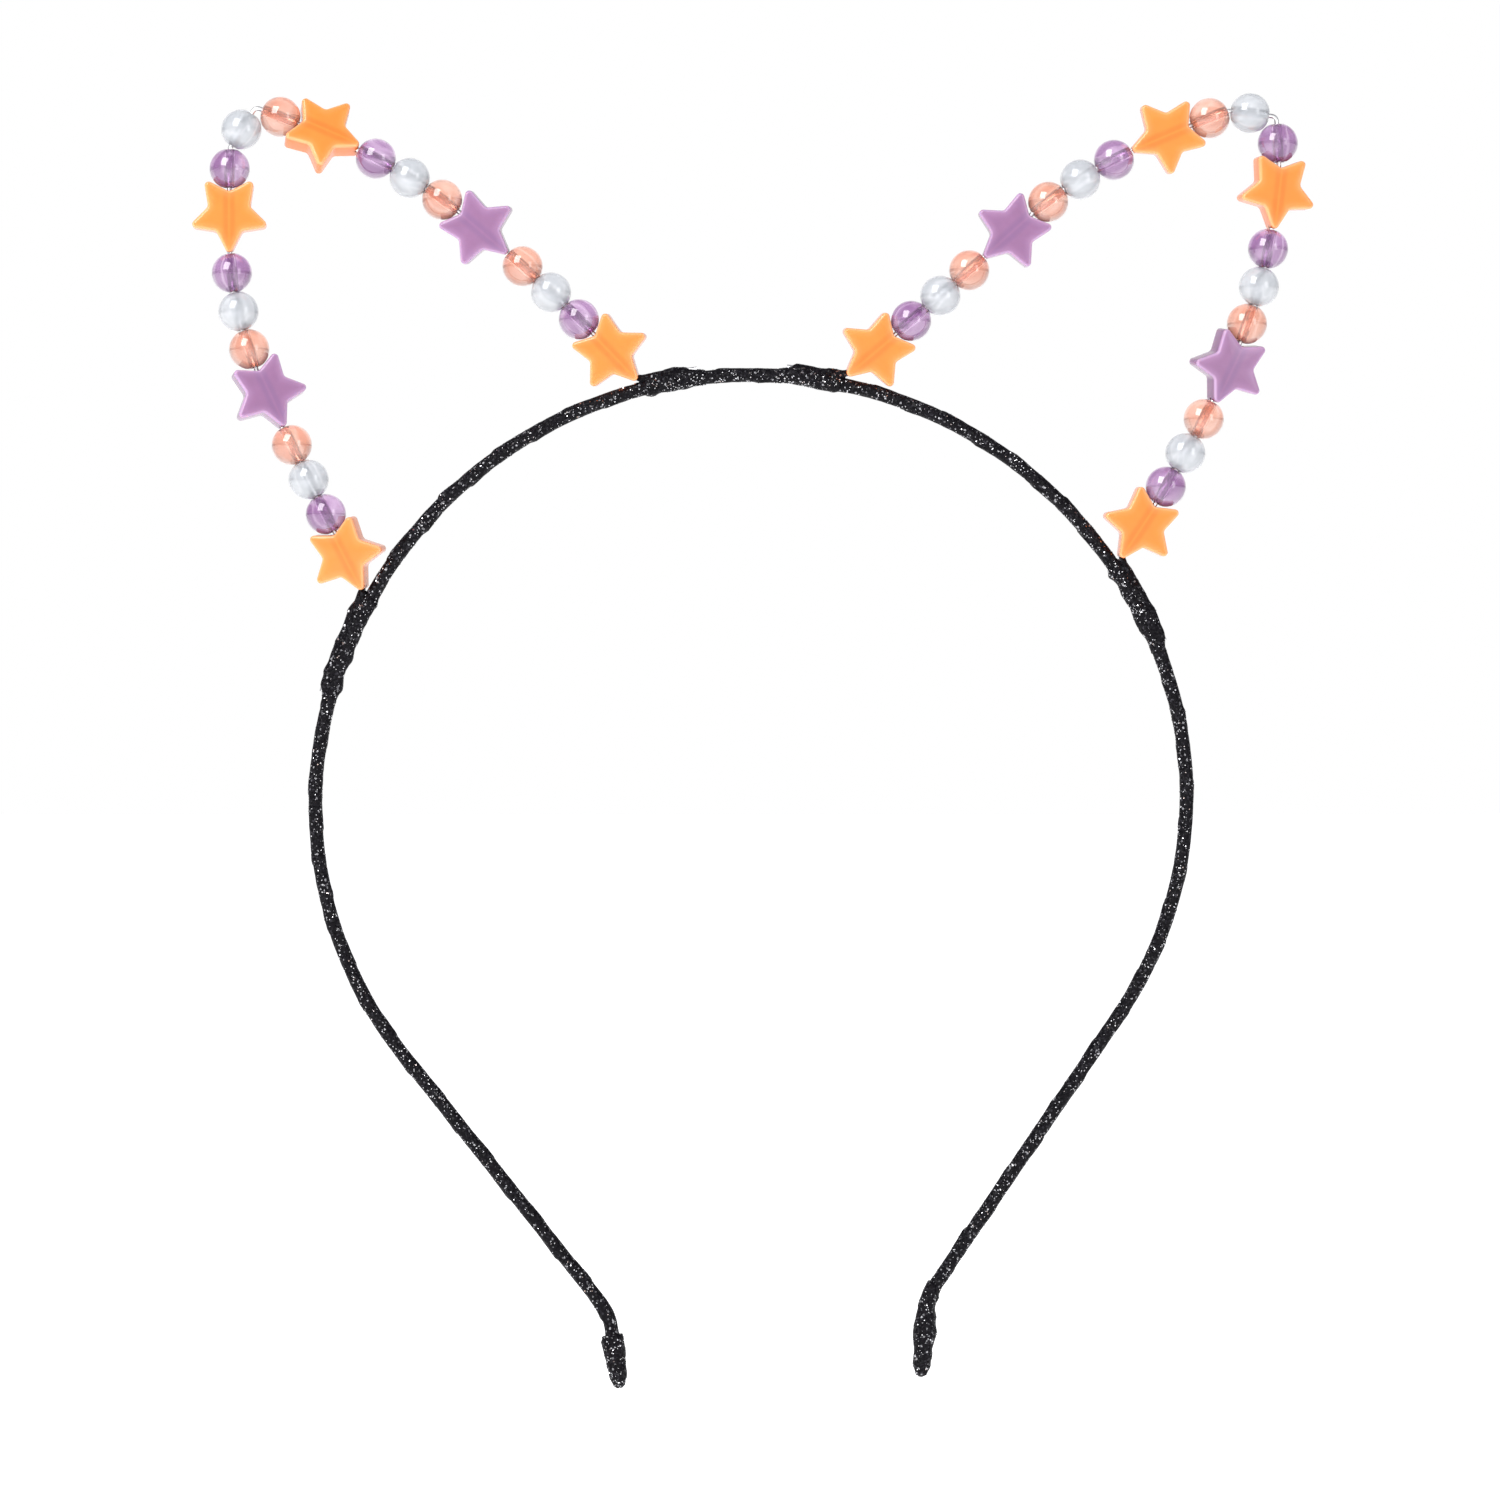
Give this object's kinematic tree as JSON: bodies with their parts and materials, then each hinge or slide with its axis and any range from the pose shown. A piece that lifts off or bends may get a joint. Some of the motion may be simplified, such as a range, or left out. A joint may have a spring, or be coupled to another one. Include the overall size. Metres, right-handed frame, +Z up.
{
  "type": "animal ears headband",
  "caption": "Slim ribbon-wound wire headband with two animal ears formed by round and star beads strung on bent wire.",
  "frame": {"origin": "under the top of the crown, on the hoop's inner face, where the headband rests on the head", "axes": "+Z up towards the ears, X from the left leg to the right leg, -Y the front; hoop and ears lie in the XZ plane"},
  "size_m": [0.166, 0.0078, 0.1919],
  "materials": {
    "hoop_steel": "plain drawn wire",
    "wire_steel": "bright drawn wire",
    "glitter_ribbon": "black ribbon with dense silver glitter",
    "cap_plastic": "matte black",
    "orange_plastic": "glossy, slightly translucent",
    "purple_plastic": "glossy, slightly translucent",
    "purple_acrylic": "clear tinted, polished",
    "clear_acrylic": "clear, polished",
    "peach_acrylic": "clear tinted, polished"
  },
  "bodies": {
    "headband": {"core_wire": "hoop_steel", "hoop_ribbon": "glitter_ribbon", "left_tip_cap": "cap_plastic", "left_tip_wrap": "glitter_ribbon", "left_ear_wire": "wire_steel", "left_outer_binding": "glitter_ribbon", "left_inner_binding": "glitter_ribbon", "right_tip_cap": "cap_plastic", "right_tip_wrap": "glitter_ribbon", "right_ear_wire": "wire_steel", "right_outer_binding": "glitter_ribbon", "right_inner_binding": "glitter_ribbon"},
    "left_ear_01_orange_star": {"left_ear_01_orange_star": "orange_plastic"},
    "left_ear_02_purple_bead": {"left_ear_02_purple_bead": "purple_acrylic"},
    "left_ear_03_clear_bead": {"left_ear_03_clear_bead": "clear_acrylic"},
    "left_ear_04_peach_bead": {"left_ear_04_peach_bead": "peach_acrylic"},
    "left_ear_05_purple_star": {"left_ear_05_purple_star": "purple_plastic"},
    "left_ear_06_peach_bead": {"left_ear_06_peach_bead": "peach_acrylic"},
    "left_ear_07_clear_bead": {"left_ear_07_clear_bead": "clear_acrylic"},
    "left_ear_08_purple_bead": {"left_ear_08_purple_bead": "purple_acrylic"},
    "left_ear_09_orange_star": {"left_ear_09_orange_star": "orange_plastic"},
    "left_ear_10_purple_bead": {"left_ear_10_purple_bead": "purple_acrylic"},
    "left_ear_11_clear_bead": {"left_ear_11_clear_bead": "clear_acrylic"},
    "left_ear_12_peach_bead": {"left_ear_12_peach_bead": "peach_acrylic"},
    "left_ear_13_orange_star": {"left_ear_13_orange_star": "orange_plastic"},
    "left_ear_14_purple_bead": {"left_ear_14_purple_bead": "purple_acrylic"},
    "left_ear_15_clear_bead": {"left_ear_15_clear_bead": "clear_acrylic"},
    "left_ear_16_peach_bead": {"left_ear_16_peach_bead": "peach_acrylic"},
    "left_ear_17_purple_star": {"left_ear_17_purple_star": "purple_plastic"},
    "left_ear_18_peach_bead": {"left_ear_18_peach_bead": "peach_acrylic"},
    "left_ear_19_clear_bead": {"left_ear_19_clear_bead": "clear_acrylic"},
    "left_ear_20_purple_bead": {"left_ear_20_purple_bead": "purple_acrylic"},
    "left_ear_21_orange_star": {"left_ear_21_orange_star": "orange_plastic"},
    "right_ear_01_orange_star": {"right_ear_01_orange_star": "orange_plastic"},
    "right_ear_02_purple_bead": {"right_ear_02_purple_bead": "purple_acrylic"},
    "right_ear_03_clear_bead": {"right_ear_03_clear_bead": "clear_acrylic"},
    "right_ear_04_peach_bead": {"right_ear_04_peach_bead": "peach_acrylic"},
    "right_ear_05_purple_star": {"right_ear_05_purple_star": "purple_plastic"},
    "right_ear_06_peach_bead": {"right_ear_06_peach_bead": "peach_acrylic"},
    "right_ear_07_clear_bead": {"right_ear_07_clear_bead": "clear_acrylic"},
    "right_ear_08_purple_bead": {"right_ear_08_purple_bead": "purple_acrylic"},
    "right_ear_09_orange_star": {"right_ear_09_orange_star": "orange_plastic"},
    "right_ear_10_purple_bead": {"right_ear_10_purple_bead": "purple_acrylic"},
    "right_ear_11_clear_bead": {"right_ear_11_clear_bead": "clear_acrylic"},
    "right_ear_12_peach_bead": {"right_ear_12_peach_bead": "peach_acrylic"},
    "right_ear_13_orange_star": {"right_ear_13_orange_star": "orange_plastic"},
    "right_ear_14_purple_bead": {"right_ear_14_purple_bead": "purple_acrylic"},
    "right_ear_15_clear_bead": {"right_ear_15_clear_bead": "clear_acrylic"},
    "right_ear_16_peach_bead": {"right_ear_16_peach_bead": "peach_acrylic"},
    "right_ear_17_purple_star": {"right_ear_17_purple_star": "purple_plastic"},
    "right_ear_18_peach_bead": {"right_ear_18_peach_bead": "peach_acrylic"},
    "right_ear_19_clear_bead": {"right_ear_19_clear_bead": "clear_acrylic"},
    "right_ear_20_purple_bead": {"right_ear_20_purple_bead": "purple_acrylic"},
    "right_ear_21_orange_star": {"right_ear_21_orange_star": "orange_plastic"}
  },
  "joints": [
    {"name": "left_ear_01_orange_star_spin", "type": "hinge", "parent": "headband", "child": "left_ear_01_orange_star", "pos_m": [-0.06006, 0, -0.02556], "axis": [-0.4579, 0, 0.889], "range_deg": [-25, 45]},
    {"name": "left_ear_02_purple_bead_spin", "type": "hinge", "parent": "headband", "child": "left_ear_02_purple_bead", "pos_m": [-0.06312, 0, -0.01956], "axis": [-0.4502, 0, 0.8929], "continuous": true},
    {"name": "left_ear_03_clear_bead_spin", "type": "hinge", "parent": "headband", "child": "left_ear_03_clear_bead", "pos_m": [-0.06567, 0, -0.01445], "axis": [-0.4424, 0, 0.8968], "continuous": true},
    {"name": "left_ear_04_peach_bead_spin", "type": "hinge", "parent": "headband", "child": "left_ear_04_peach_bead", "pos_m": [-0.06817, 0, -0.00932], "axis": [-0.4345, 0, 0.9007], "continuous": true},
    {"name": "left_ear_05_purple_star_spin", "type": "hinge", "parent": "headband", "child": "left_ear_05_purple_star", "pos_m": [-0.07186, 0, -0.00155], "axis": [-0.4266, 0, 0.9044], "continuous": true},
    {"name": "left_ear_06_peach_bead_spin", "type": "hinge", "parent": "headband", "child": "left_ear_06_peach_bead", "pos_m": [-0.07448, 0, 0.00486], "axis": [-0.3256, 0, 0.9455], "continuous": true},
    {"name": "left_ear_07_clear_bead_spin", "type": "hinge", "parent": "headband", "child": "left_ear_07_clear_bead", "pos_m": [-0.07607, 0, 0.01044], "axis": [-0.2208, 0, 0.9753], "continuous": true},
    {"name": "left_ear_08_purple_bead_spin", "type": "hinge", "parent": "headband", "child": "left_ear_08_purple_bead", "pos_m": [-0.07704, 0, 0.01617], "axis": [-0.1133, 0, 0.9936], "continuous": true},
    {"name": "left_ear_09_orange_star_spin", "type": "hinge", "parent": "headband", "child": "left_ear_09_orange_star", "pos_m": [-0.07741, 0, 0.02485], "axis": [-0.0044, 0, 1], "continuous": true},
    {"name": "left_ear_10_purple_bead_spin", "type": "hinge", "parent": "headband", "child": "left_ear_10_purple_bead", "pos_m": [-0.07738, 0, 0.03161], "axis": [0.013, 0, 0.9999], "continuous": true},
    {"name": "left_ear_11_clear_bead_spin", "type": "hinge", "parent": "headband", "child": "left_ear_11_clear_bead", "pos_m": [-0.07563, 0, 0.03741], "axis": [0.5409, 0, 0.8411], "continuous": true},
    {"name": "left_ear_12_peach_bead_spin", "type": "hinge", "parent": "headband", "child": "left_ear_12_peach_bead", "pos_m": [-0.06987, 0, 0.03929], "axis": [0.932, 0, -0.3624], "continuous": true},
    {"name": "left_ear_13_orange_star_spin", "type": "hinge", "parent": "headband", "child": "left_ear_13_orange_star", "pos_m": [-0.06359, 0, 0.03671], "axis": [0.9188, 0, -0.3947], "continuous": true},
    {"name": "left_ear_14_purple_bead_spin", "type": "hinge", "parent": "headband", "child": "left_ear_14_purple_bead", "pos_m": [-0.05572, 0, 0.03309], "axis": [0.887, 0, -0.4617], "continuous": true},
    {"name": "left_ear_15_clear_bead_spin", "type": "hinge", "parent": "headband", "child": "left_ear_15_clear_bead", "pos_m": [-0.0507, 0, 0.03024], "axis": [0.8504, 0, -0.5261], "continuous": true},
    {"name": "left_ear_16_peach_bead_spin", "type": "hinge", "parent": "headband", "child": "left_ear_16_peach_bead", "pos_m": [-0.04591, 0, 0.02702], "axis": [0.8091, 0, -0.5877], "continuous": true},
    {"name": "left_ear_17_purple_star_spin", "type": "hinge", "parent": "headband", "child": "left_ear_17_purple_star", "pos_m": [-0.04052, 0, 0.02278], "axis": [0.7633, 0, -0.6461], "continuous": true},
    {"name": "left_ear_18_peach_bead_spin", "type": "hinge", "parent": "headband", "child": "left_ear_18_peach_bead", "pos_m": [-0.03399, 0, 0.01716], "axis": [0.7461, 0, -0.6658], "continuous": true},
    {"name": "left_ear_19_clear_bead_spin", "type": "hinge", "parent": "headband", "child": "left_ear_19_clear_bead", "pos_m": [-0.02977, 0, 0.01329], "axis": [0.7284, 0, -0.6851], "continuous": true},
    {"name": "left_ear_20_purple_bead_spin", "type": "hinge", "parent": "headband", "child": "left_ear_20_purple_bead", "pos_m": [-0.02565, 0, 0.00931], "axis": [0.7102, 0, -0.704], "continuous": true},
    {"name": "left_ear_21_orange_star_spin", "type": "hinge", "parent": "headband", "child": "left_ear_21_orange_star", "pos_m": [-0.0209, 0, 0.00447], "axis": [0.6916, 0, -0.7223], "range_deg": [-40, 30]},
    {"name": "right_ear_01_orange_star_spin", "type": "hinge", "parent": "headband", "child": "right_ear_01_orange_star", "pos_m": [0.05765, 0, -0.02121], "axis": [0.5518, 0, 0.834], "range_deg": [-20, 20]},
    {"name": "right_ear_02_purple_bead_spin", "type": "hinge", "parent": "headband", "child": "right_ear_02_purple_bead", "pos_m": [0.0613, 0, -0.01549], "axis": [0.5205, 0, 0.8539], "continuous": true},
    {"name": "right_ear_03_clear_bead_spin", "type": "hinge", "parent": "headband", "child": "right_ear_03_clear_bead", "pos_m": [0.06419, 0, -0.01053], "axis": [0.4884, 0, 0.8726], "continuous": true},
    {"name": "right_ear_04_peach_bead_spin", "type": "hinge", "parent": "headband", "child": "right_ear_04_peach_bead", "pos_m": [0.0669, 0, -0.00547], "axis": [0.4557, 0, 0.8901], "continuous": true},
    {"name": "right_ear_05_purple_star_spin", "type": "hinge", "parent": "headband", "child": "right_ear_05_purple_star", "pos_m": [0.07064, 0, 0.0023], "axis": [0.4224, 0, 0.9064], "continuous": true},
    {"name": "right_ear_06_peach_bead_spin", "type": "hinge", "parent": "headband", "child": "right_ear_06_peach_bead", "pos_m": [0.0733, 0, 0.00863], "axis": [0.348, 0, 0.9375], "continuous": true},
    {"name": "right_ear_07_clear_bead_spin", "type": "hinge", "parent": "headband", "child": "right_ear_07_clear_bead", "pos_m": [0.07509, 0, 0.01413], "axis": [0.2712, 0, 0.9625], "continuous": true},
    {"name": "right_ear_08_purple_bead_spin", "type": "hinge", "parent": "headband", "child": "right_ear_08_purple_bead", "pos_m": [0.07644, 0, 0.01975], "axis": [0.1927, 0, 0.9812], "continuous": true},
    {"name": "right_ear_09_orange_star_spin", "type": "hinge", "parent": "headband", "child": "right_ear_09_orange_star", "pos_m": [0.07765, 0, 0.02834], "axis": [0.113, 0, 0.9936], "continuous": true},
    {"name": "right_ear_10_purple_bead_spin", "type": "hinge", "parent": "headband", "child": "right_ear_10_purple_bead", "pos_m": [0.07787, 0, 0.03538], "axis": [-0.0525, 0, 0.9986], "continuous": true},
    {"name": "right_ear_11_clear_bead_spin", "type": "hinge", "parent": "headband", "child": "right_ear_11_clear_bead", "pos_m": [0.07376, 0, 0.03983], "axis": [-0.9915, 0, 0.1303], "continuous": true},
    {"name": "right_ear_12_peach_bead_spin", "type": "hinge", "parent": "headband", "child": "right_ear_12_peach_bead", "pos_m": [0.06776, 0, 0.03909], "axis": [-0.9303, 0, -0.3667], "continuous": true},
    {"name": "right_ear_13_orange_star_spin", "type": "hinge", "parent": "headband", "child": "right_ear_13_orange_star", "pos_m": [0.06149, 0, 0.03652], "axis": [-0.9204, 0, -0.3909], "continuous": true},
    {"name": "right_ear_14_purple_bead_spin", "type": "hinge", "parent": "headband", "child": "right_ear_14_purple_bead", "pos_m": [0.05361, 0, 0.03291], "axis": [-0.8849, 0, -0.4658], "continuous": true},
    {"name": "right_ear_15_clear_bead_spin", "type": "hinge", "parent": "headband", "child": "right_ear_15_clear_bead", "pos_m": [0.04861, 0, 0.03], "axis": [-0.8433, 0, -0.5375], "continuous": true},
    {"name": "right_ear_16_peach_bead_spin", "type": "hinge", "parent": "headband", "child": "right_ear_16_peach_bead", "pos_m": [0.04387, 0, 0.02669], "axis": [-0.7959, 0, -0.6055], "continuous": true},
    {"name": "right_ear_17_purple_star_spin", "type": "hinge", "parent": "headband", "child": "right_ear_17_purple_star", "pos_m": [0.03858, 0, 0.0223], "axis": [-0.743, 0, -0.6693], "continuous": true},
    {"name": "right_ear_18_peach_bead_spin", "type": "hinge", "parent": "headband", "child": "right_ear_18_peach_bead", "pos_m": [0.03218, 0, 0.01656], "axis": [-0.7488, 0, -0.6628], "continuous": true},
    {"name": "right_ear_19_clear_bead_spin", "type": "hinge", "parent": "headband", "child": "right_ear_19_clear_bead", "pos_m": [0.02789, 0, 0.0128], "axis": [-0.7546, 0, -0.6562], "continuous": true},
    {"name": "right_ear_20_purple_bead_spin", "type": "hinge", "parent": "headband", "child": "right_ear_20_purple_bead", "pos_m": [0.02356, 0, 0.00907], "axis": [-0.7603, 0, -0.6496], "continuous": true},
    {"name": "right_ear_21_orange_star_spin", "type": "hinge", "parent": "headband", "child": "right_ear_21_orange_star", "pos_m": [0.01841, 0, 0.00471], "axis": [-0.7659, 0, -0.6429], "range_deg": [-30, 45]}
  ]
}
